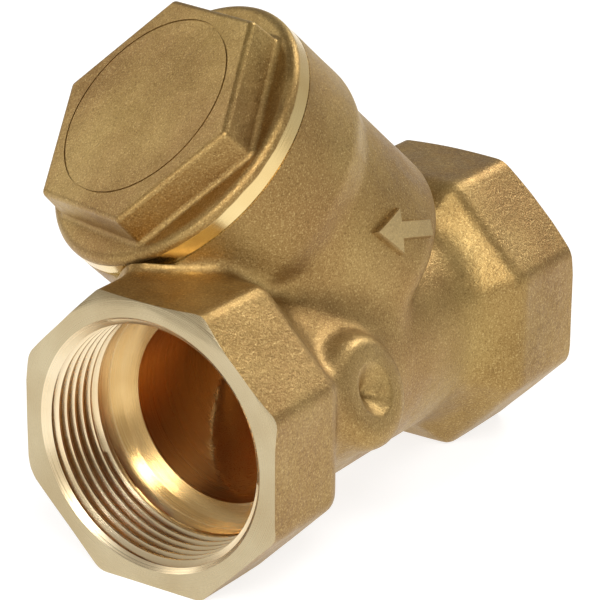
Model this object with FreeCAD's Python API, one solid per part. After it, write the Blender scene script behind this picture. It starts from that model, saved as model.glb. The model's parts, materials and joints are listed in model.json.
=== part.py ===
import FreeCAD, Part
import math
import os

# A forged brass strainer with two threaded pipe ends and a screwed cap on a slanting branch.
# Frame, in mm: the origin is the centre of the outlet's face, +X runs back along the pipe axis to the
# inlet, +Z points up out of a flat of both octagons, and the dimpled boss is on the -Y side.
Vec = FreeCAD.Vector

# pipe run
FACE_TO_FACE = 104.0
OCTAGON_FLATS = 55.0
OCTAGON_TURN = 22.5
OCTAGON_LENGTH = 19.5
BEVEL_LENGTH = 9.0
BEVEL_FALL = 7.84
TUBE_R = 21.4
WATERWAY_R = 18.5
EDGE_R = 2.2
END_CHAMFER_R = 28.5
END_CHAMFER_DROP = 1.1
END_CHAMFER_SLOPE = 2.0

# pipe threads, G 1 1/2
PIPE_PITCH = 2.309
PIPE_MAJOR_R = 23.902
PIPE_MINOR_R = 22.423
PIPE_GROOVE_MOUTH = 1.1
PIPE_GROOVE_ROOT = 0.385
PIPE_BORE_DEPTH = 18.1
PIPE_THREAD_END = 15.6
PIPE_FLOOR_DEPTH = 19.7
PIPE_THREAD_TURN = 80.0
MOUTH_R = 24.26

# branch, measured along its own axis from where it crosses the pipe axis
BRANCH_X = 76.2
BRANCH_LEAN = 50.0
BRANCH_ROLL = 22.5
BARREL_R = 26.4
BARREL_START = 15.5
BARREL_END_R = 3.0
COLLAR_R = 28.6
COLLAR_FLARE = (40.0, 47.5)
SEAT_PLANE = 61.2
CAP_CLEARANCE_R = 29.5
CHAMBER_R = 22.8
CHAMBER_START = 19.0
LEDGE = 16.5
LEDGE_HOLE_R = 17.2
WEB_START = 13.0
RELIEF = (45.6, 47.4)
JOINT_CHAMFER = 0.25
COLLAR_ROOT_R = 1.0


# cap thread, M50 x 1.5
CAP_PITCH = 1.5
CAP_MAJOR_R = 25.0
CAP_MINOR_R = 24.19
CAP_GROOVE_MOUTH = 1.125
CAP_GROOVE_ROOT = 0.1875
CAP_PLAY = 0.12
CAP_THREAD_START = 46.4
CAP_TURNS = 10
CAP_THREAD_TURN = 30.0
CAP_SKIRT_START = 48.6
CAP_UNDERCUT = 59.2

# side boss, measured in the branch plane from the outlet's face and from the pipe axis
BOSS_X = 35.0
BOSS_DROP = 5.0
BOSS_R = 10.6
BOSS_FACE = 25.6
BOSS_EDGE_R = 2.4
BOSS_DRAFT = 1.6
DIMPLE_R = 4.85
DIMPLE_DEPTH = 3.4

# flow arrow, raised on the side of the barrel
ARROW_X = 57.0
ARROW_UP = 19.0
ARROW_TURN = 14.0
ARROW_LENGTH = 15.0
ARROW_HEAD = 6.0
ARROW_WIDTH = 8.0
ARROW_SHAFT = 3.0
ARROW_RAISE = 0.7

# gasket, in a groove round the top of the branch
GASKET_INNER_R = 25.25
GASKET_OUTER_R = 27.0
GASKET_POCKET_R = 27.3
GASKET_THICK = 1.5

# cap
FLANGE_R = 28.6
FLANGE_TOP = 66.1
FLANGE_EDGE_R = 1.9
HEX_BASE_FLATS = 45.5
HEX_TOP_FLATS = 44.5
HEX_TOP = 73.3
HEX_TURN = 3.6
HEX_EDGE_R = 1.2
HEX_ROOT_R = 1.2
CAP_CEILING = 64.4
CAP_RECESS_START = 57.5
CAP_SKIRT_INNER_R = 20.6
CAP_HOLLOW_R = 14.5
CAP_HOLLOW_TOP = 68.4
WITNESS_R = 19.2
WITNESS_OFFSET = (0.5, 0.3)
WITNESS_WIDTH = 0.35
WITNESS_DEPTH = 0.25

# screen: a rolled perforated sheet
SCREEN_R = 18.7
SCREEN_FIT = 0.08
SCREEN_SHEET = 0.6
SCREEN_TOP = 64.1
HOLE_R = 0.75
HOLES_ROUND = 38
HOLE_ROWS = 15
HOLE_MARGIN = 3.4
SEAM_WIDTH = 6.0
SEAM_CLEAR_ANGLE = 14.0

LONG = 200.0
SNAP = 0.01


def branch_axes():
    """The branch frame: local z runs up the branch and local x stays in the plane of both axes."""
    lean = math.radians(BRANCH_LEAN)
    up = branch_up()
    along = Vec(-math.cos(lean), 0, 0) + up * math.sin(lean)
    across = Vec(math.sin(lean), 0, 0) + up * math.cos(lean)
    return across, along.cross(across), along


def branch_up():
    """The direction in the plane of both axes that is square to the pipe."""
    roll = math.radians(BRANCH_ROLL)
    return Vec(0, math.sin(roll), math.cos(roll))


def on_branch(shape):
    across, side, along = branch_axes()
    turn = FreeCAD.Rotation(across, side, along, "ZXY")
    placed = shape.copy()
    placed.Placement = FreeCAD.Placement(Vec(BRANCH_X, 0, 0), turn)
    return placed


def on_boss(shape):
    """Place a shape built along z on the side of the body, square to the branch plane."""
    up = branch_up()
    out = Vec(1, 0, 0).cross(up)
    turn = FreeCAD.Rotation(Vec(1, 0, 0), up, out, "ZXY")
    placed = shape.copy()
    placed.Placement = FreeCAD.Placement(Vec(BOSS_X, 0, 0) - up * BOSS_DROP, turn)
    return placed


def along_x(shape, x=0.0, flip=False):
    """Stand a shape built along z on the pipe axis, with its z running to +X, or to -X when flipped."""
    angle = -90 if flip else 90
    placed = shape.copy()
    placed.Placement = FreeCAD.Placement(Vec(x, 0, 0), FreeCAD.Rotation(Vec(0, 1, 0), angle))
    return placed


def revolved(outline):
    """A solid of revolution about z from (radius, height) points."""
    points = [Vec(r, 0, z) for r, z in outline]
    face = Part.Face(Part.makePolygon(points + points[:1]))
    return face.revolve(Vec(0, 0, 0), Vec(0, 0, 1), 360)


def cylinder(radius, low, high):
    return Part.makeCylinder(radius, high - low, Vec(0, 0, low))


def frustum(sides, low_flats, high_flats, low, high, first_angle):
    """A solid with regular polygons for ends, their sizes given across flats, and flat sides."""
    rings = []
    for flats, height in ((low_flats, low), (high_flats, high)):
        corner_r = flats / 2 / math.cos(math.pi / sides)
        angles = [math.radians(first_angle) + 2 * math.pi * i / sides for i in range(sides + 1)]
        rings.append([Vec(corner_r * math.cos(a), corner_r * math.sin(a), height) for a in angles])
    bottom, top = rings
    outlines = [bottom[::-1], top]
    for i in range(sides):
        outlines.append([bottom[i], bottom[i + 1], top[i + 1], top[i], bottom[i]])
    faces = [Part.Face(Part.makePolygon(points)) for points in outlines]
    return Part.makeSolid(Part.makeShell(faces))


def thread_groove(mouth_r, root_r, mouth, root, pitch, low, turns, start_angle):
    """A right-hand helical groove; its tool runs a little past the mouth so that the cut is clean."""
    flank = (mouth - root) / abs(root_r - mouth_r)
    reach = (pitch - mouth) / 2 / flank
    near_r = mouth_r - math.copysign(reach, root_r - mouth_r)
    near = (mouth + flank * reach) / 2
    profile = [(near_r, -near), (root_r, -root / 2), (root_r, root / 2), (near_r, near)]
    points = [Vec(r, 0, z) for r, z in profile]
    wire = Part.makePolygon(points + points[:1])
    helix = Part.makeHelix(pitch, pitch * turns, mouth_r)
    groove = Part.Wire(helix).makePipeShell([wire], True, True)
    groove.rotate(Vec(0, 0, 0), Vec(0, 0, 1), start_angle)
    groove.translate(Vec(0, 0, low))
    return groove


def rim(shape, height):
    """The edges that lie at one height."""
    return [e for e in shape.Edges if max(abs(e.BoundBox.ZMin - height), abs(e.BoundBox.ZMax - height)) < SNAP]


def fillet_between(solid, radius, first, second):
    """Round the edges that a face of the first kind shares with a face of the second kind."""
    owners = {}
    for face in solid.Faces:
        for edge in face.Edges:
            owners.setdefault(edge.hashCode(), []).append(face)
    chosen = []
    for edge in solid.Edges:
        faces = owners[edge.hashCode()]
        if len(faces) != 2:
            continue
        a, b = faces
        if (first(a) and second(b)) or (first(b) and second(a)):
            chosen.append(edge)
    return solid.makeFillet(radius, chosen)


def is_cylinder(face, radius):
    surface = face.Surface
    return surface.TypeId == "Part::GeomCylinder" and abs(surface.Radius - radius) < SNAP


def is_off_branch(face):
    """Whether a face isn't one of those turned about the branch axis."""
    axis = getattr(face.Surface, "Axis", None)
    return axis is None or axis.cross(branch_axes()[2]).Length > SNAP


def pipe_end():
    """One octagon with its rear bevel, along z from its face. Its corners on the parting line stay sharp."""
    small = OCTAGON_FLATS - 2 * BEVEL_FALL
    prism = frustum(8, OCTAGON_FLATS, OCTAGON_FLATS, 0, OCTAGON_LENGTH, OCTAGON_TURN)
    bevel = frustum(8, OCTAGON_FLATS, small, OCTAGON_LENGTH, OCTAGON_LENGTH + BEVEL_LENGTH, OCTAGON_TURN)
    solid = prism.fuse(bevel).removeSplitter()
    parting = math.radians(180 - BRANCH_ROLL)
    soft = rim(solid, OCTAGON_LENGTH)
    for edge in solid.Edges:
        if edge.BoundBox.ZLength < 1:
            continue
        start = edge.Vertexes[0].Point
        angle = math.atan2(start.y, start.x)
        if abs(math.sin(angle - parting)) > 0.1:
            soft.append(edge)
    solid = solid.makeFillet(EDGE_R, soft)
    return solid.common(end_cone())


def end_cone():
    """What the turned chamfer leaves of an octagon, along z from its face; it runs a little off centre."""
    cone = Part.makeCone(END_CHAMFER_R, END_CHAMFER_R + LONG * END_CHAMFER_SLOPE, LONG)
    cone.translate(Vec(END_CHAMFER_DROP, 0, 0))
    return cone


def branch():
    """The barrel and the wider collar at its top, with a rounded lower end."""
    outline = [(0, BARREL_START), (BARREL_R, BARREL_START), (BARREL_R, COLLAR_FLARE[0]),
               (COLLAR_R, COLLAR_FLARE[1]), (COLLAR_R, SEAT_PLANE - JOINT_CHAMFER),
               (COLLAR_R - JOINT_CHAMFER, SEAT_PLANE), (0, SEAT_PLANE)]
    solid = revolved(outline)
    return on_branch(solid.makeFillet(BARREL_END_R, rim(solid, BARREL_START)))


def boss():
    cone = Part.makeCone(BOSS_R + BOSS_DRAFT, BOSS_R, BOSS_FACE)
    return on_boss(cone.makeFillet(BOSS_EDGE_R, rim(cone, BOSS_FACE)))


def dimple():
    lip = BOSS_FACE + DIMPLE_DEPTH / DIMPLE_R
    return on_boss(revolved([(0, BOSS_FACE - DIMPLE_DEPTH), (DIMPLE_R + 1, lip), (0, lip)]))


def flow_arrow():
    """A raised arrow on the side of the barrel, above the boss, that points to the outlet."""
    half = ARROW_WIDTH / 2
    shaft = ARROW_SHAFT / 2
    tip = -ARROW_LENGTH / 2
    neck = tip + ARROW_HEAD
    tail = ARROW_LENGTH / 2
    outline = [(tip, 0), (neck, half), (neck, shaft), (tail, shaft),
               (tail, -shaft), (neck, -shaft), (neck, -half)]
    points = [Vec(x, y, 0) for x, y in outline]
    prism = Part.Face(Part.makePolygon(points + points[:1])).extrude(Vec(0, 0, BARREL_R + LONG))
    up = branch_up()
    out = Vec(1, 0, 0).cross(up)
    lean = math.radians(ARROW_TURN)
    ahead = Vec(1, 0, 0) * math.cos(lean) - up * math.sin(lean)
    turn = FreeCAD.Rotation(ahead, out.cross(ahead), out, "ZXY")
    prism.Placement = FreeCAD.Placement(Vec(ARROW_X, 0, 0) + up * ARROW_UP, turn)
    skin = on_branch(cylinder(BARREL_R + ARROW_RAISE, BARREL_START, COLLAR_FLARE[0]))
    return prism.common(skin)


def forging():
    """The outside of the body, with the forged radius where the collar meets the octagon."""
    outlet = along_x(pipe_end())
    inlet = outlet.mirror(Vec(FACE_TO_FACE / 2, 0, 0), Vec(1, 0, 0))
    tube = along_x(cylinder(TUBE_R, OCTAGON_LENGTH, FACE_TO_FACE - OCTAGON_LENGTH))
    solid = outlet.fuse([inlet, tube, branch(), boss()]).removeSplitter().Solids[0]
    solid = fillet_between(solid, COLLAR_ROOT_R, lambda f: is_cylinder(f, COLLAR_R), is_off_branch)
    return solid.fuse(flow_arrow()).removeSplitter()


def pipe_socket():
    """The space a pipe screws into, along z from the face: mouth, thread, plain end and sloping floor."""
    bore = revolved([(0, -1), (MOUTH_R + 1, -1), (PIPE_MINOR_R, MOUTH_R - PIPE_MINOR_R),
                     (PIPE_MINOR_R, PIPE_BORE_DEPTH), (WATERWAY_R, PIPE_FLOOR_DEPTH), (0, PIPE_FLOOR_DEPTH)])
    turns = PIPE_THREAD_END / PIPE_PITCH + 1
    groove = thread_groove(PIPE_MINOR_R, PIPE_MAJOR_R, PIPE_GROOVE_MOUTH, PIPE_GROOVE_ROOT,
                           PIPE_PITCH, -PIPE_PITCH, turns, PIPE_THREAD_TURN)
    return bore.fuse(groove)


def waterways():
    """The passages: the outlet's side of the slanting web, the inlet's side, and the hole between them."""
    run = along_x(cylinder(WATERWAY_R, PIPE_FLOOR_DEPTH - 1, FACE_TO_FACE - PIPE_FLOOR_DEPTH + 1))
    after = on_branch(cylinder(LONG, CHAMBER_START, LONG))
    before = on_branch(cylinder(LONG, -LONG, WEB_START))
    through = on_branch(cylinder(LEDGE_HOLE_R, WEB_START - 1, LEDGE + 1))
    return [run.common(after), run.common(before), run.common(through)]


def branch_space():
    """What is bored out of the branch: gasket pocket, cap thread, relief, chamber and screen seat."""
    seat_r = SCREEN_R + SCREEN_FIT
    relief_r = CAP_MAJOR_R + JOINT_CHAMFER
    floor = SEAT_PLANE - GASKET_THICK
    hollow = revolved([(0, LEDGE), (seat_r, LEDGE), (seat_r, CHAMBER_START), (CHAMBER_R, CHAMBER_START),
                       (CHAMBER_R, RELIEF[0]), (relief_r, RELIEF[0]), (relief_r, RELIEF[1]),
                       (CAP_MINOR_R, RELIEF[1] + relief_r - CAP_MINOR_R),
                       (CAP_MINOR_R, floor - relief_r + CAP_MINOR_R), (relief_r, floor),
                       (GASKET_POCKET_R, floor), (GASKET_POCKET_R, SEAT_PLANE + 1), (0, SEAT_PLANE + 1)])
    groove = thread_groove(CAP_MINOR_R, CAP_MAJOR_R, CAP_GROOVE_MOUTH, CAP_GROOVE_ROOT,
                           CAP_PITCH, CAP_THREAD_START, CAP_TURNS, CAP_THREAD_TURN)
    return on_branch(hollow.fuse(groove))


def body():
    solid = forging()
    solid = solid.cut(on_branch(cylinder(CAP_CLEARANCE_R, SEAT_PLANE, LONG)))
    solid = solid.cut(dimple())
    for x, flip in ((0, False), (FACE_TO_FACE, True)):
        solid = solid.cut(along_x(pipe_socket(), x, flip))
    for passage in waterways():
        solid = solid.cut(passage)
    return solid.cut(branch_space())


def cap():
    """The hexagon plug: flange and tapered hexagon outside, threaded skirt and the screen's recess inside."""
    skirt_r = CAP_MAJOR_R - CAP_PLAY
    root_r = CAP_MINOR_R - CAP_PLAY
    lead = skirt_r - root_r
    turned = revolved([(0, CAP_SKIRT_START), (root_r, CAP_SKIRT_START), (skirt_r, CAP_SKIRT_START + lead),
                       (skirt_r, CAP_UNDERCUT), (root_r - CAP_PLAY, CAP_UNDERCUT + lead),
                       (root_r - CAP_PLAY, SEAT_PLANE), (FLANGE_R - JOINT_CHAMFER, SEAT_PLANE),
                       (FLANGE_R, SEAT_PLANE + JOINT_CHAMFER), (FLANGE_R, FLANGE_TOP), (0, FLANGE_TOP)])
    turned = turned.makeFillet(FLANGE_EDGE_R, rim(turned, FLANGE_TOP))
    solid = turned.fuse(hexagon()).removeSplitter().Solids[0]
    roots = [e for e in rim(solid, FLANGE_TOP) if e.Curve.TypeId == "Part::GeomLine"]
    solid = solid.makeFillet(HEX_ROOT_R, roots)
    recess_r = SCREEN_R + SCREEN_FIT
    taper = CAP_SKIRT_INNER_R - recess_r
    hollow = revolved([(0, CAP_SKIRT_START - 1), (CAP_SKIRT_INNER_R, CAP_SKIRT_START - 1),
                       (CAP_SKIRT_INNER_R, CAP_RECESS_START - taper), (recess_r, CAP_RECESS_START),
                       (recess_r, CAP_CEILING), (CAP_HOLLOW_R, CAP_CEILING), (CAP_HOLLOW_R, CAP_HOLLOW_TOP),
                       (0, CAP_HOLLOW_TOP)])
    ring = cylinder(WITNESS_R, HEX_TOP - WITNESS_DEPTH, HEX_TOP + 1)
    ring = ring.cut(cylinder(WITNESS_R - WITNESS_WIDTH, HEX_TOP - 1, HEX_TOP + 2))
    ring.translate(Vec(WITNESS_OFFSET[0], WITNESS_OFFSET[1], 0))
    groove = thread_groove(skirt_r, root_r, CAP_PITCH - CAP_GROOVE_ROOT, CAP_PITCH - CAP_GROOVE_MOUTH,
                           CAP_PITCH, CAP_THREAD_START + CAP_PITCH / 2, CAP_TURNS, CAP_THREAD_TURN)
    return on_branch(solid.cut(hollow).cut(ring).cut(groove))


def hexagon():
    """The spanner hexagon: forged with draft, with soft corners and a soft top edge."""
    height = HEX_TOP - FLANGE_TOP
    draft = (HEX_BASE_FLATS - HEX_TOP_FLATS) / height
    solid = frustum(6, HEX_BASE_FLATS + draft, HEX_TOP_FLATS, FLANGE_TOP - 1, HEX_TOP, HEX_TURN)
    corners = [e for e in solid.Edges if e.BoundBox.ZLength > 1]
    return solid.makeFillet(HEX_EDGE_R, rim(solid, HEX_TOP) + corners)


def gasket():
    ring = cylinder(GASKET_OUTER_R, SEAT_PLANE - GASKET_THICK, SEAT_PLANE)
    return on_branch(ring.cut(cylinder(GASKET_INNER_R, 0, LONG)))


def screen():
    """A sheet rolled into a tube with a lapped seam, with staggered rows of round holes round it."""
    inner_r = SCREEN_R - SCREEN_SHEET
    tube = cylinder(SCREEN_R, LEDGE, SCREEN_TOP).cut(cylinder(inner_r, 0, LONG))
    lap = cylinder(inner_r, LEDGE, SCREEN_TOP).cut(cylinder(inner_r - SCREEN_SHEET, 0, LONG))
    strip = Part.makeBox(LONG, SEAM_WIDTH, LONG, Vec(0, -SEAM_WIDTH / 2, 0))
    tube = tube.fuse(lap.common(strip))
    step = 360 / HOLES_ROUND
    rise = (SCREEN_TOP - LEDGE - 2 * HOLE_MARGIN) / (HOLE_ROWS - 1)
    pins = []
    for row in range(HOLE_ROWS):
        for i in range(HOLES_ROUND):
            angle = (i + 0.5 * (row % 2)) * step
            if min(angle, 360 - angle) < SEAM_CLEAR_ANGLE:
                continue
            pin = Part.makeCylinder(HOLE_R, 4 * SCREEN_SHEET, Vec(inner_r - SCREEN_SHEET, 0, 0), Vec(1, 0, 0))
            pin.rotate(Vec(0, 0, 0), Vec(0, 0, 1), angle)
            pin.translate(Vec(0, 0, LEDGE + HOLE_MARGIN + row * rise))
            pins.append(pin)
    return on_branch(tube.cut(pins))


if __name__ == "__main__":
    os.makedirs("parts", exist_ok=True)
    for name, make in (("body", body), ("cap", cap), ("gasket", gasket), ("screen", screen)):
        shape = make()
        print(name, shape.ShapeType, len(shape.Solids), shape.isValid(), round(shape.Volume))
        shape.exportStep("parts/" + name + ".step")
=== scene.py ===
import json
import math

import bpy
import numpy as np
import openvdb
from mathutils import Matrix, Vector


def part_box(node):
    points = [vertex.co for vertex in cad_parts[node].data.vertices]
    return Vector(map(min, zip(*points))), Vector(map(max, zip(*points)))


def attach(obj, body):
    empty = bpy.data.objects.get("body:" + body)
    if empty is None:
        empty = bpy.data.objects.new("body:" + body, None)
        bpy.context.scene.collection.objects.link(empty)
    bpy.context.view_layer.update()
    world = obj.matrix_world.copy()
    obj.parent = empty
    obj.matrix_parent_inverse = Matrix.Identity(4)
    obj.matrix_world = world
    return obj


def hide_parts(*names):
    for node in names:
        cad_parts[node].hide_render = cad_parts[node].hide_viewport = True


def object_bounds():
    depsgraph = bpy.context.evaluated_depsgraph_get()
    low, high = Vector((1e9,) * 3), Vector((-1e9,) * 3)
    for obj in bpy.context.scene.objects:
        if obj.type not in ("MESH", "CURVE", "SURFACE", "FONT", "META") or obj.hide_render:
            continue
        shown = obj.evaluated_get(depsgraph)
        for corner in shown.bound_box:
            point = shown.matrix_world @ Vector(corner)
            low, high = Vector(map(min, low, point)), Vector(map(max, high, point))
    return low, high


# A forged brass y strainer. Lengths are in millimetres in the part's frame, until a mesh is made in metres.
MM = 0.001

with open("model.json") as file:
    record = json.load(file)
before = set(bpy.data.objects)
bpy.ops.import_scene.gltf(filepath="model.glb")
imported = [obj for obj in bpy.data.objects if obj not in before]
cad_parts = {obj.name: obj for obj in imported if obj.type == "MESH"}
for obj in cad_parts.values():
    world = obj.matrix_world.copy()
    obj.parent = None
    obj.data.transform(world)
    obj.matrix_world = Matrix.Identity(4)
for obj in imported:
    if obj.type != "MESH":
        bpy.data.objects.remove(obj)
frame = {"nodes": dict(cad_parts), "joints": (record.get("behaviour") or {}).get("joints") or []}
cad_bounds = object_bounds()

# pipe run
FACE_TO_FACE = round(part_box("body")[1].x / MM, 3)
HALF_FLATS = round(-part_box("body")[0].z / MM, 3)
OCTAGON_LENGTH = 19.5
BEVEL_LENGTH = 9.0
BEVEL_FALL = 7.84
TUBE_R = 21.4
WATERWAY_R = 18.5
CHAMFER_R = 28.5
CHAMFER_DROP = 1.1
CHAMFER_SLOPE = 2.0

# pipe sockets
PIPE_PITCH = 2.309
PIPE_MAJOR_R = 23.902
PIPE_MINOR_R = 22.423
PIPE_GROOVE = (1.924, 0.385)
PIPE_THREAD_END = 15.6
PIPE_BORE_DEPTH = 18.1
PIPE_FLOOR_DEPTH = 19.7
PIPE_THREAD_TURN = math.radians(-47)
MOUTH_R = 24.26

# branch, measured along its own axis from where it crosses the pipe axis
LIFT = next(j for j in frame["joints"] if j["name"] == "cap_lift")
BRANCH_X = 76.2
BARREL_R = 26.4
BARREL_START = 15.5
COLLAR_R = 28.6
FLARE = (40.0, 47.5)
SEAT_PLANE = 61.2
CAP_CLEARANCE_R = 29.5
CHAMBER_R = 22.8
CHAMBER_START = 19.0
LEDGE = 16.5
LEDGE_HOLE_R = 17.2
WEB_START = 13.0
SCREEN_SEAT_R = 18.78
RELIEF_START = 45.6
RELIEF_R = 25.25
POCKET_R = 27.3
POCKET_FLOOR = 59.7
CAP_PITCH = 1.5
CAP_MAJOR_R = 25.0
CAP_MINOR_R = 24.19
CAP_GROOVE = (1.125, 0.1875)
CAP_THREAD_START = 46.4
CAP_THREAD_END = 60.5
CAP_THREAD_TURN = math.radians(30)
CAP_BAND_TOP = 64.2

# boss and arrow, on the side of the body that faces -SIDE
BOSS_X = 35.0
BOSS_DROP = 5.0
BOSS_R = 10.6
BOSS_FACE = 25.6
BOSS_DRAFT = 1.6
DIMPLE_R = 4.85
DIMPLE_DEPTH = 3.9
ARROW_X = 57.0
ARROW_UP = 19.0
ARROW_TURN = math.radians(14)
ARROW_LENGTH = 15.0
ARROW_HEAD = 6.0
ARROW_WIDTH = 8.0
ARROW_SHAFT = 3.0
ARROW_RAISE = 1.2

# rounding of the forging, as the reach of each blend
FLAT_ROUND = 1.1
BEVEL_ROUND = 1.3
PARTING_ROUND = 0.3
BARREL_FOOT_ROUND = 5.0
BOSS_ROUND = 3.8
BOSS_BLEND = 3.6
RUN_BLEND = 3.0
BARREL_BLEND = (5.0, 2.6)
BARREL_BLEND_X = (45.0, 60.0)
RIPPLE = 0.05

# meshes
SKIN_STEP = 0.74
PASSAGE_STEP = 1.1
SHARP = math.radians(32)
STOCK = 45.0

ALONG = Vector(LIFT["axis"])
SIDE = Vector((1, 0, 0)).cross(ALONG).normalized() * -1
UP = Vector((1, 0, 0)).cross(SIDE)
ACROSS = SIDE.cross(ALONG)

FORGED, TURNED, THREAD, BORE = range(4)


def smooth_max(a, b, k):
    """The larger of two distances, rounded where they are within k of each other."""
    h = np.maximum(k - np.abs(a - b), 0) / k
    return np.maximum(a, b) + h * h * k / 4


def smooth_min(a, b, k):
    return -smooth_max(-a, -b, k)


def dot(p, axis, origin=(0, 0, 0)):
    return (p[0] - origin[0]) * axis[0] + (p[1] - origin[1]) * axis[1] + (p[2] - origin[2]) * axis[2]


def octagon(p, depth):
    """Distance to an octagon end with its rear bevel; its corners on the parting line stay sharp."""
    slope = math.hypot(BEVEL_LENGTH, BEVEL_FALL)
    halves = []
    for first in (90, 270):
        half = None
        for step in range(4):
            a = math.radians(first + 45 * step)
            flat = p[1] * math.cos(a) + p[2] * math.sin(a) - HALF_FLATS
            bevel = (flat * BEVEL_LENGTH + (depth - OCTAGON_LENGTH) * BEVEL_FALL) / slope
            side = smooth_max(flat, bevel, BEVEL_ROUND)
            half = side if half is None else smooth_max(half, side, FLAT_ROUND)
        halves.append(half)
    return smooth_max(halves[0], halves[1], PARTING_ROUND)


def barrel(s, radius):
    """Distance to the branch's barrel and collar, from height and radius about its own axis."""
    t = np.clip((s - FLARE[0]) / (FLARE[1] - FLARE[0]), 0, 1)
    wall = radius - BARREL_R - (COLLAR_R - BARREL_R) * t * t * (3 - 2 * t)
    solid = smooth_max(wall, BARREL_START - s, BARREL_FOOT_ROUND)
    return np.maximum(solid, s - SEAT_PLANE - 3)


def boss(p):
    """Distance to the round boss, whose sides are drafted towards the face."""
    height = dot(p, -SIDE)
    radius = np.sqrt((p[0] - BOSS_X) ** 2 + (dot(p, UP) + BOSS_DROP) ** 2)
    wall = radius - BOSS_R - BOSS_DRAFT * (1 - height / BOSS_FACE)
    return np.maximum(smooth_max(wall, height - BOSS_FACE, BOSS_ROUND), -height)


def distance_mesh(name, low, high, distance, step):
    """The surface where a distance field is zero, as a mesh in millimetres."""
    axes = [np.arange(a, b + step, step, dtype=np.float32) for a, b in zip(low, high)]
    p = np.meshgrid(*axes, indexing="ij", sparse=True)
    field = np.ascontiguousarray(distance(p), dtype=np.float32)
    grid = openvdb.FloatGrid(3 * step)
    grid.copyFromArray(np.clip(field, -3 * step, 3 * step))
    grid.transform = openvdb.createLinearTransform(voxelSize=step)
    points, quads = grid.convertToQuads(0.0)
    points = points + np.array([a[0] for a in axes])
    mesh = bpy.data.meshes.new(name)
    mesh.from_pydata(points.tolist(), [], quads.tolist())
    mesh.update()
    return mesh


def outside(p):
    """Distance to the forging's skin."""
    s = dot(p, ALONG, (BRANCH_X, 0, 0))
    a = dot(p, ACROSS, (BRANCH_X, 0, 0))
    b = dot(p, SIDE, (BRANCH_X, 0, 0))
    tube = np.sqrt(p[1] ** 2 + p[2] ** 2) - TUBE_R + 0 * p[0]
    run = smooth_min(tube, octagon(p, p[0]), RUN_BLEND)
    run = smooth_min(run, octagon(p, FACE_TO_FACE - p[0]), RUN_BLEND)
    blend = np.interp(p[0], BARREL_BLEND_X, BARREL_BLEND)
    solid = smooth_min(run, barrel(s, np.sqrt(a * a + b * b)), blend)
    solid = smooth_min(solid, boss(p), BOSS_BLEND)
    ripple = np.sin(p[0] * 0.31 + 1.3) * np.sin(p[1] * 0.37 + 0.4) * np.sin(p[2] * 0.29 + 2.1)
    return np.maximum(solid, np.maximum(-2 - p[0], p[0] - FACE_TO_FACE - 2)) + RIPPLE * ripple


def inside(p):
    """Distance to the passages: both sides of the slanting web, the hole in it and the branch's bore."""
    s = dot(p, ALONG, (BRANCH_X, 0, 0))
    a = dot(p, ACROSS, (BRANCH_X, 0, 0))
    b = dot(p, SIDE, (BRANCH_X, 0, 0))
    radius = np.sqrt(a * a + b * b)
    ends = np.maximum(PIPE_FLOOR_DEPTH - 2 - p[0], p[0] - FACE_TO_FACE + PIPE_FLOOR_DEPTH - 2)
    run = np.maximum(np.sqrt(p[1] ** 2 + p[2] ** 2) - WATERWAY_R, ends)
    web = np.maximum(WEB_START - s, s - CHAMBER_START)
    through = np.maximum(np.maximum(radius - LEDGE_HOLE_R, run), s - LEDGE - 1)
    seat = np.maximum(radius - SCREEN_SEAT_R, LEDGE - s)
    chamber = np.maximum(radius - CHAMBER_R, CHAMBER_START - s)
    bored = np.maximum(np.minimum(seat, chamber), s - RELIEF_START - 1)
    return np.minimum(np.minimum(np.maximum(run, -web), through), bored)


def turned_mesh(name, outline, segments=160):
    """A closed mesh turned about z from (radius, height) points that start and end on the axis, or loop."""
    closed = outline[0][0] > 0
    rings = outline if closed else outline[1:-1]
    points = []
    for r, z in rings:
        for i in range(segments):
            t = 2 * math.pi * i / segments
            points.append((r * math.cos(t), r * math.sin(t), z))
    faces = []
    for j in range(len(rings) if closed else len(rings) - 1):
        k = (j + 1) % len(rings)
        for i in range(segments):
            n = (i + 1) % segments
            faces.append((j * segments + i, j * segments + n, k * segments + n, k * segments + i))
    if not closed:
        faces.append(list(range(segments))[::-1])
        faces.append(list(range((len(rings) - 1) * segments, len(rings) * segments)))
    mesh = bpy.data.meshes.new(name)
    mesh.from_pydata(points, [], faces)
    mesh.update()
    return mesh


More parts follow.
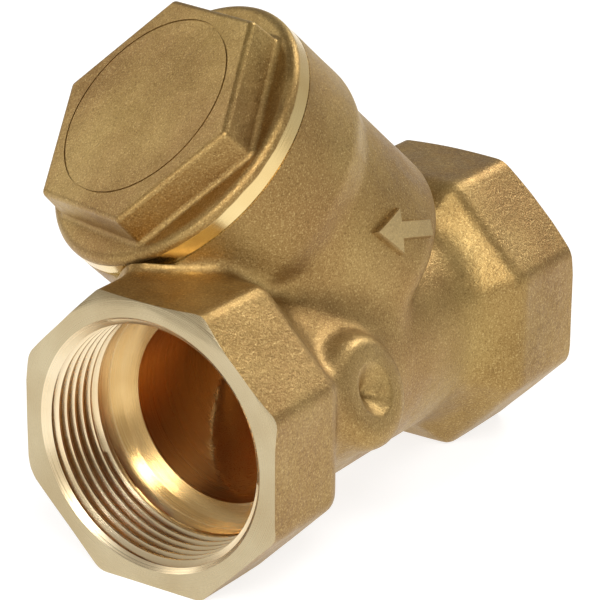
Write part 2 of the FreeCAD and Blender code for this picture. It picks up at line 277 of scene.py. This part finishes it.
def thread_mesh(name, minor_r, major_r, groove, pitch, start, end, turn, segments=128):
    """A closed tool whose outside is a right-hand thread along z; its rows of points follow the helix."""
    mouth, root = groove
    profile = [(-mouth / 2, 0), (-root / 2, 1), (root / 2, 1), (mouth / 2, 0)]
    rows = []
    for k in range(math.ceil((end - start) / pitch) + 2):
        rows += [(start + pitch * k + offset, depth) for offset, depth in profile]
    low_r = minor_r - 0.06
    points = []
    for z0, depth in rows:
        for i in range(segments):
            share = i / segments
            z = z0 + pitch * share
            fade = min(max((end - z) / pitch, 0), 1)
            r = low_r + (major_r - low_r) * depth * fade
            t = 2 * math.pi * share + turn
            points.append((r * math.cos(t), r * math.sin(t), z))
    period = len(profile)
    faces = []
    for j in range(len(rows) - 1):
        for i in range(segments - 1):
            a = j * segments + i
            faces.append((a, a + 1, a + 1 + segments, a + segments))
        if j + 1 + period < len(rows):
            a = j * segments + segments - 1
            b = (j + period) * segments
            faces.append((a, b, b + segments, a + segments))
    count = len(rows)
    lower = list(range(segments)) + [j * segments for j in range(period, 0, -1)]
    last = (count - 1) * segments
    upper = [last + i for i in range(segments)]
    upper += [j * segments + segments - 1 for j in range(count - 2, count - 2 - period, -1)]
    points.append((0, 0, rows[0][0]))
    points.append((0, 0, rows[-1][0] + pitch))
    for loop, centre, flip in ((lower, len(points) - 2, True), (upper, len(points) - 1, False)):
        for i in range(len(loop)):
            a, b = loop[i], loop[(i + 1) % len(loop)]
            faces.append((b, a, centre) if flip else (a, b, centre))
    mesh = bpy.data.meshes.new(name)
    mesh.from_pydata(points, [], faces)
    mesh.update()
    return mesh


def placed(mesh, x_to, y_to, z_to, origin):
    mesh.transform(Matrix((x_to, y_to, z_to)).transposed().to_4x4())
    mesh.transform(Matrix.Translation(origin))
    return mesh


def at_outlet(mesh):
    return placed(mesh, Vector((0, 0, -1)), Vector((0, 1, 0)), Vector((1, 0, 0)), (0, 0, 0))


def at_inlet(mesh):
    return placed(mesh, Vector((0, 0, 1)), Vector((0, 1, 0)), Vector((-1, 0, 0)), (FACE_TO_FACE, 0, 0))


def on_branch(mesh):
    return placed(mesh, ACROSS, SIDE, ALONG, (BRANCH_X, 0, 0))


def pipe_end_tools():
    """What is machined at one end, along z from its face, each with the finish that it leaves."""
    face = turned_mesh("face", [(0, -8), (STOCK, -8), (STOCK, 0), (0, 0)])
    edge = 4.0
    chamfer = turned_mesh("chamfer", [(CHAMFER_R - CHAMFER_SLOPE, -1), (STOCK, -1), (STOCK, edge),
                                      (CHAMFER_R + CHAMFER_SLOPE * edge, edge)])
    bore = turned_mesh("bore", [(0, -1), (MOUTH_R + 1, -1), (PIPE_MINOR_R, MOUTH_R - PIPE_MINOR_R),
                                (PIPE_MINOR_R, PIPE_BORE_DEPTH), (WATERWAY_R, PIPE_FLOOR_DEPTH),
                                (WATERWAY_R, PIPE_FLOOR_DEPTH + 1.5), (0, PIPE_FLOOR_DEPTH + 1.5)])
    thread = thread_mesh("thread", PIPE_MINOR_R, PIPE_MAJOR_R, PIPE_GROOVE, PIPE_PITCH,
                         -PIPE_PITCH * 1.5, PIPE_THREAD_END, PIPE_THREAD_TURN)
    return [(face, TURNED), (chamfer, TURNED), (bore, BORE), (thread, THREAD)]


def branch_tools():
    """What is machined at the top of the branch."""
    clearance = turned_mesh("clearance", [(0, SEAT_PLANE), (CAP_CLEARANCE_R, SEAT_PLANE),
                                          (CAP_CLEARANCE_R, SEAT_PLANE + 30), (0, SEAT_PLANE + 30)])
    bore = turned_mesh("cap_bore", [(0, RELIEF_START), (RELIEF_R, RELIEF_START),
                                    (RELIEF_R, RELIEF_START + 1.8), (CAP_MINOR_R, RELIEF_START + 2.9),
                                    (CAP_MINOR_R, POCKET_FLOOR - 1.1), (RELIEF_R, POCKET_FLOOR),
                                    (POCKET_R, POCKET_FLOOR), (POCKET_R, SEAT_PLANE + 1),
                                    (0, SEAT_PLANE + 1)])
    thread = thread_mesh("cap_thread", CAP_MINOR_R, CAP_MAJOR_R, CAP_GROOVE, CAP_PITCH,
                         CAP_THREAD_START, CAP_THREAD_END, CAP_THREAD_TURN)
    return [(clearance, TURNED), (bore, TURNED), (thread, THREAD)]


def dimple():
    """The cone sunk in the boss, with a round bottom and an eased rim."""
    spread = DIMPLE_R / DIMPLE_DEPTH
    flare = 0.5
    outline = [(0, 0.35 - DIMPLE_DEPTH), (0.5, 0.45 - DIMPLE_DEPTH), (1.0, 0.75 - DIMPLE_DEPTH),
               (DIMPLE_R - 0.3 * spread, -0.3), (DIMPLE_R + 0.1, -0.08),
               (DIMPLE_R + flare, 0.02), (DIMPLE_R + flare, 3), (0, 3)]
    middle = Vector((BOSS_X, 0, 0)) - UP * BOSS_DROP - SIDE * BOSS_FACE
    return placed(turned_mesh("dimple", outline), Vector((1, 0, 0)), UP, -SIDE, middle)


def flow_arrow():
    """The raised arrow: a prism with drafted sides, then the drum that its top is rounded to."""
    low, high = 24.0, 29.0
    draft = 0.2
    rows = []
    for height in (low, high):
        grow = draft * (BARREL_R + ARROW_RAISE - height)
        half = ARROW_WIDTH / 2 + grow * 1.5
        shaft = ARROW_SHAFT / 2 + grow
        tip = -ARROW_LENGTH / 2 - grow * 1.8
        neck = ARROW_HEAD - ARROW_LENGTH / 2 + grow
        tail = ARROW_LENGTH / 2 + grow
        outline = [(tip, 0), (neck, half), (neck, shaft), (tail, shaft),
                   (tail, -shaft), (neck, -shaft), (neck, -half)]
        rows.append([(x, y, height) for x, y in outline])
    count = len(rows[0])
    faces = [tuple(range(count)), tuple(range(2 * count))[:count - 1:-1]]
    faces += [(i, i + count, (i + 1) % count + count, (i + 1) % count) for i in range(count)]
    prism = bpy.data.meshes.new("arrow")
    prism.from_pydata(rows[0] + rows[1], [], faces)
    out = -SIDE
    ahead = Vector((1, 0, 0)) * math.cos(ARROW_TURN) - UP * math.sin(ARROW_TURN)
    placed(prism, ahead, out.cross(ahead), out, Vector((ARROW_X, 0, 0)) + UP * ARROW_UP)
    radius = BARREL_R + ARROW_RAISE
    drum = turned_mesh("drum", [(0, BARREL_START), (radius, BARREL_START),
                                (radius, FLARE[0]), (0, FLARE[0])])
    return cut(prism, on_branch(drum), FORGED, "INTERSECT")


def cut(mesh, tool, finish, operation="DIFFERENCE"):
    """The first mesh without the second, or joined to it, whose faces take the finish of the tool."""
    for polygon in tool.polygons:
        polygon.material_index = finish
    for slot in range(4):
        tool.materials.append(None)
    solid = bpy.data.objects.new("solid", mesh)
    knife = bpy.data.objects.new("knife", tool)
    for o in (solid, knife):
        bpy.context.scene.collection.objects.link(o)
    boolean = solid.modifiers.new("cut", "BOOLEAN")
    boolean.object = knife
    boolean.operation = operation
    boolean.solver = "MANIFOLD"
    graph = bpy.context.evaluated_depsgraph_get()
    result = bpy.data.meshes.new_from_object(solid.evaluated_get(graph))
    bpy.data.objects.remove(solid)
    bpy.data.objects.remove(knife)
    return result


def make_body():
    low = [c / MM - 3 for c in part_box("body")[0]]
    high = [c / MM + 3 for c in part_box("body")[1]]
    mesh = distance_mesh("body_skin", low, high, outside, SKIN_STEP)
    for slot in range(4):
        mesh.materials.append(None)
    mesh = cut(mesh, dimple(), FORGED)
    mesh = cut(mesh, flow_arrow(), FORGED, "UNION")
    mesh = cut(mesh, distance_mesh("passages", low, high, inside, PASSAGE_STEP), BORE)
    for place in (at_outlet, at_inlet):
        for tool, finish in pipe_end_tools():
            tool = place(tool)
            if tool.name.startswith("chamfer"):
                tool.transform(Matrix.Translation((0, 0, -CHAMFER_DROP)))
            mesh = cut(mesh, tool, finish)
    for tool, finish in branch_tools():
        mesh = cut(mesh, on_branch(tool), finish)
    mesh.transform(Matrix.Scale(MM, 4))
    mesh.name = "body_forging"
    mesh.polygons.foreach_set("use_smooth", [True] * len(mesh.polygons))
    mesh.set_sharp_from_angle(angle=SHARP)
    piece = bpy.data.objects.new("body_forging", mesh)
    bpy.context.scene.collection.objects.link(piece)
    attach(piece, "housing")
    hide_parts("body")
    return piece


class Tree:
    """Short calls for building one material's nodes."""

    def __init__(self, name):
        self.material = bpy.data.materials.new(name)
        self.material.use_nodes = True
        self.nodes = self.material.node_tree.nodes
        self.links = self.material.node_tree.links
        self.shader = self.nodes["Principled BSDF"]
        self.place = self.nodes.new("ShaderNodeTexCoord").outputs["Object"]

    def put(self, node, key, value):
        if isinstance(value, bpy.types.NodeSocket):
            self.links.new(value, node.inputs[key])
        elif value is not None:
            node.inputs[key].default_value = value

    def math(self, operation, a, b=None, c=None, clamp=False):
        node = self.nodes.new("ShaderNodeMath")
        node.operation = operation
        node.use_clamp = clamp
        for i, value in enumerate((a, b, c)):
            self.put(node, i, value)
        return node.outputs[0]

    def vector(self, operation, a, b=None, scale=None):
        node = self.nodes.new("ShaderNodeVectorMath")
        node.operation = operation
        self.put(node, 0, a)
        self.put(node, 1, b)
        self.put(node, "Scale", scale)
        return node.outputs["Value" if operation in ("DOT_PRODUCT", "LENGTH") else "Vector"]

    def noise(self, scale, detail=2.0, rough=0.5, place=None):
        node = self.nodes.new("ShaderNodeTexNoise")
        self.put(node, "Vector", place or self.place)
        self.put(node, "Scale", scale)
        self.put(node, "Detail", detail)
        self.put(node, "Roughness", rough)
        return node.outputs["Fac"]

    def steps(self, fac, *stops):
        """A colour ramp of (position, (r, g, b)) stops."""
        node = self.nodes.new("ShaderNodeValToRGB")
        elements = node.color_ramp.elements
        while len(elements) < len(stops):
            elements.new(0.5)
        for element, (position, colour) in zip(elements, stops):
            element.position = position
            element.color = (*colour, 1)
        self.put(node, "Fac", fac)
        return node.outputs["Color"]

    def remap(self, value, low, high, to_low=0.0, to_high=1.0):
        node = self.nodes.new("ShaderNodeMapRange")
        self.put(node, "Value", value)
        for key, limit in (("From Min", low), ("From Max", high), ("To Min", to_low), ("To Max", to_high)):
            self.put(node, key, limit)
        return node.outputs["Result"]

    def mix(self, fac, a, b):
        node = self.nodes.new("ShaderNodeMix")
        node.data_type = "RGBA"
        self.put(node, "Factor", fac)
        self.put(node, 6, a)
        self.put(node, 7, b)
        return node.outputs[2]

    def bump(self, height, distance, strength=1.0, normal=None):
        node = self.nodes.new("ShaderNodeBump")
        self.put(node, "Height", height)
        self.put(node, "Distance", distance)
        self.put(node, "Strength", strength)
        self.put(node, "Normal", normal)
        return node.outputs["Normal"]

    def rings(self, axis, origin):
        """(radius, height, 0) about an axis, in metres."""
        local = self.vector("SUBTRACT", self.place, origin)
        height = self.vector("DOT_PRODUCT", local, axis)
        upright = self.vector("SCALE", axis, scale=height)
        radius = self.vector("LENGTH", self.vector("SUBTRACT", local, upright))
        node = self.nodes.new("ShaderNodeCombineXYZ")
        self.put(node, 0, radius)
        self.put(node, 1, height)
        return node.outputs[0], radius, height

    def finish(self, **sockets):
        for key, value in sockets.items():
            self.put(self.shader, key.replace("_", " "), value)
        return self.material


def forged_look(t):
    """Colour, roughness and bump of the shot-blasted forged skin."""
    cloud = t.noise(38.0, 4.0, 0.6)
    warmth = t.remap(t.noise(24.0, 2.0), 0.35, 0.65)
    grain = t.noise(3000.0, 3.0, 0.7)
    yellow = t.steps(cloud, (0.32, (0.30, 0.185, 0.058)), (0.5, (0.38, 0.25, 0.082)),
                     (0.7, (0.46, 0.32, 0.115)))
    red = t.steps(cloud, (0.32, (0.29, 0.165, 0.058)), (0.5, (0.36, 0.22, 0.08)),
                  (0.7, (0.43, 0.29, 0.11)))
    colour = t.mix(warmth, yellow, red)
    colour = t.mix(t.remap(grain, 0.54, 0.76, 0.0, 0.8), colour, (0.78, 0.59, 0.26, 1))
    colour = t.mix(t.remap(grain, 0.28, 0.47, 0.7, 0.0), colour, (0.13, 0.07, 0.025, 1))
    roughness = t.remap(t.noise(300.0, 3.0), 0.3, 0.7, 0.38, 0.52)
    normal = t.bump(t.noise(900.0, 2.0), 0.00009)
    normal = t.bump(grain, 0.00006, 1.0, normal)
    return colour, roughness, normal


PALE_BRASS = (0.3, (0.47, 0.37, 0.215)), (0.7, (0.56, 0.47, 0.30))
BRIGHT_BRASS = (0.3, (0.78, 0.61, 0.36)), (0.7, (0.90, 0.76, 0.52))
GOLD_BRASS = (0.3, (0.76, 0.55, 0.24)), (0.7, (0.86, 0.68, 0.34))


def turned_look(t, axis, origin, roughness=0.2, tones=PALE_BRASS):
    """Colour, roughness and bump of a turned face, with the tool's rings about an axis."""
    ring, radius, height = t.rings(axis, origin)
    marks = t.noise(5200.0, 2.0, 0.7, ring)
    coarse = t.noise(900.0, 2.0, 0.6, ring)
    cloud = t.noise(70.0, 3.0)
    colour = t.steps(cloud, *tones)
    rough = t.remap(marks, 0.3, 0.7, roughness * 0.8, roughness * 1.4)
    normal = t.bump(coarse, 0.00002)
    normal = t.bump(marks, 0.000012, 1.0, normal)
    return colour, rough, normal


def forged_brass():
    """The skin of the body, with a painted highlight on top of the raised arrow."""
    t = Tree("forged_brass_skin")
    colour, roughness, normal = forged_look(t)
    radius, height = t.rings(tuple(ALONG), (BRANCH_X * MM, 0, 0))[1:]
    # painted highlight: faces standing proud of the barrel on the raised arrow are mixed towards light brass
    arrow_top_highlight = t.remap(radius, (BARREL_R + 0.6) * MM, (BARREL_R + 1.0) * MM)
    below_flare = t.math("LESS_THAN", height, (FLARE[0] - 3) * MM)
    above_tube = t.math("GREATER_THAN", t.vector("DOT_PRODUCT", t.place, tuple(UP)),
                        (ARROW_UP - ARROW_WIDTH) * MM)
    x = t.vector("DOT_PRODUCT", t.place, (1, 0, 0))
    off_arrow = t.math("ABSOLUTE", t.math("SUBTRACT", x, ARROW_X * MM))
    clear_of_octagons = t.math("LESS_THAN", off_arrow, ARROW_LENGTH * 0.8 * MM)
    for part in (below_flare, above_tube, clear_of_octagons):
        arrow_top_highlight = t.math("MULTIPLY", arrow_top_highlight, part)
    colour = t.mix(t.math("MULTIPLY", arrow_top_highlight, 0.38), colour, (0.72, 0.58, 0.31, 1))
    return t.finish(Base_Color=colour, Metallic=0.95, Roughness=roughness, Normal=normal)


def turned_brass():
    t = Tree("turned_brass")
    colour, roughness, normal = turned_look(t, (1, 0, 0), (0, 0, 0), 0.24)
    return t.finish(Base_Color=colour, Metallic=1.0, Roughness=roughness, Normal=normal)


def thread_brass():
    """The crests are bright, and the grooves are darkened with painted shade."""
    t = Tree("threaded_brass")
    colour, roughness, normal = turned_look(t, (1, 0, 0), (0, 0, 0), 0.2, BRIGHT_BRASS)
    radius = t.rings((1, 0, 0), (0, 0, 0))[1]
    # painted shade: the colour darkens from near the crests towards the groove roots at the major radius
    groove_shade = t.remap(radius, (PIPE_MINOR_R + 0.25) * MM, PIPE_MAJOR_R * MM, 0.0, 0.4)
    colour = t.mix(groove_shade, colour, (0.44, 0.24, 0.10, 1))
    return t.finish(Base_Color=colour, Metallic=1.0, Roughness=roughness, Normal=normal)


def bore_brass():
    t = Tree("bored_brass")
    colour, roughness, normal = turned_look(t, (1, 0, 0), (0, 0, 0), 0.28, BRIGHT_BRASS)
    x = t.vector("DOT_PRODUCT", t.place, (1, 0, 0))
    middle = FACE_TO_FACE / 2 * MM
    depth = t.math("SUBTRACT", middle, t.math("ABSOLUTE", t.math("SUBTRACT", x, middle)))
    cored = t.remap(depth, PIPE_FLOOR_DEPTH * MM, (PIPE_FLOOR_DEPTH + 0.3) * MM, 0.0, 0.85)
    colour = t.mix(cored, colour, (0.74, 0.38, 0.11, 1))
    return t.finish(Base_Color=colour, Metallic=1.0, Roughness=roughness, Normal=normal)


def cap_brass():
    """The cap: forged outside, turned from the band round its flange downwards and in its recess."""
    t = Tree("cap_brass")
    origin = (BRANCH_X * MM, 0, 0)
    skin = forged_look(t)
    bright = turned_look(t, tuple(ALONG), origin, 0.16, GOLD_BRASS)
    height = t.vector("DOT_PRODUCT", t.vector("SUBTRACT", t.place, origin), tuple(ALONG))
    edge = t.math("ADD", height, t.remap(t.noise(120.0), 0.3, 0.7, -0.0002, 0.0002))
    machined = t.remap(edge, CAP_BAND_TOP * MM + 0.0001, CAP_BAND_TOP * MM - 0.0001)
    colour = t.mix(machined, skin[0], bright[0])
    roughness = t.mix(machined, skin[1], bright[1])
    normal = t.mix(machined, skin[2], bright[2])
    return t.finish(Base_Color=colour, Metallic=1.0, Roughness=roughness, Normal=normal)


def fibre():
    t = Tree("gasket_fibre")
    grain = t.noise(2500.0, 3.0)
    colour = t.steps(grain, (0.35, (0.020, 0.020, 0.018)), (0.65, (0.05, 0.048, 0.043)))
    return t.finish(Base_Color=colour, Roughness=0.8, Normal=t.bump(grain, 0.00005))


def steel():
    t = Tree("screen_steel")
    grain = t.noise(1500.0, 3.0)
    colour = t.steps(grain, (0.35, (0.42, 0.42, 0.41)), (0.65, (0.60, 0.60, 0.58)))
    rough = t.remap(grain, 0.3, 0.7, 0.28, 0.42)
    return t.finish(Base_Color=colour, Metallic=1.0, Roughness=rough, Normal=t.bump(grain, 0.00001))


def dress(node, material):
    node.data.materials.clear()
    node.data.materials.append(material)


def area_light(name, place, aim, size, watts, colour=(1, 1, 1)):
    light = bpy.data.lights.new(name, "AREA")
    light.shape = "RECTANGLE"
    light.size, light.size_y = size
    light.energy = watts
    light.color = colour
    holder = bpy.data.objects.new(name, light)
    holder.location = place
    holder.rotation_euler = (Vector(aim) - Vector(place)).to_track_quat("-Z", "Y").to_euler()
    bpy.context.scene.collection.objects.link(holder)


def make_stage():
    low = cad_bounds[0][2]
    mesh = bpy.data.meshes.new("floor")
    w = 6.0
    mesh.from_pydata([(-w, -w, low), (w, -w, low), (w, w, low), (-w, w, low)], [], [(0, 1, 2, 3)])
    floor = bpy.data.objects.new("floor", mesh)
    bpy.context.scene.collection.objects.link(floor)
    t = Tree("floor_white")
    colour = t.steps(t.noise(3.0), (0.3, (0.36, 0.36, 0.36)), (0.7, (0.38, 0.38, 0.38)))
    mesh.materials.append(t.finish(Base_Color=colour, Roughness=0.9, Emission_Color=(1, 1, 1, 1),
                                   Emission_Strength=0.8))
    world = bpy.data.worlds.new("studio")
    world.use_nodes = True
    nodes, links = world.node_tree.nodes, world.node_tree.links
    direction = nodes.new("ShaderNodeTexCoord")
    height = nodes.new("ShaderNodeSeparateXYZ")
    ramp = nodes.new("ShaderNodeValToRGB")
    horizon, zenith = ramp.color_ramp.elements
    horizon.color = (0.62, 0.60, 0.56, 1)
    zenith.position = 0.7
    zenith.color = (0.27, 0.25, 0.22, 1)
    links.new(direction.outputs["Generated"], height.inputs[0])
    links.new(height.outputs["Z"], ramp.inputs["Fac"])
    links.new(ramp.outputs["Color"], nodes["Background"].inputs["Color"])
    bpy.context.scene.world = world
    middle = (0.052, 0, 0.02)
    area_light("key", (-0.55, -0.5, 0.75), middle, (0.4, 0.4), 5.5)
    area_light("side", (0.9, -0.15, 0.75), middle, (0.35, 0.35), 4.5)
    area_light("back", (-0.1, 0.9, 0.6), middle, (0.7, 0.4), 1.5)
    area_light("front", (-0.8, -0.1, 0.45), (0.01, 0, 0), (0.3, 0.3), 2)


def make_camera():
    azimuth, elevation, roll = (math.radians(v) for v in (33.828, 22.346, 0.402))
    distance = 0.60247
    focal_share = 5.2614
    target = Vector((0.052, 0, 0))
    back = Vector((-math.cos(azimuth) * math.cos(elevation), -math.sin(azimuth) * math.cos(elevation),
                   math.sin(elevation)))
    data = bpy.data.cameras.new("camera")
    data.sensor_width = 36
    data.lens = 36 * focal_share
    data.shift_x = -0.0184
    data.shift_y = 0.0938
    data.clip_start = 0.01
    camera = bpy.data.objects.new("camera", data)
    turn = back.to_track_quat("Z", "Y").to_matrix().to_4x4()
    camera.matrix_world = Matrix.Translation(target + back * distance) @ turn @ Matrix.Rotation(roll, 4, "Z")
    bpy.context.scene.collection.objects.link(camera)
    bpy.context.scene.camera = camera


bpy.context.scene.view_settings.view_transform = "Standard"
make_camera()
make_stage()
body = make_body()
for slot, make in enumerate((forged_brass, turned_brass, thread_brass, bore_brass)):
    body.data.materials[slot] = make()
dress(frame["nodes"]["cap"], cap_brass())
dress(frame["nodes"]["gasket"], fibre())
dress(frame["nodes"]["screen"], steel())
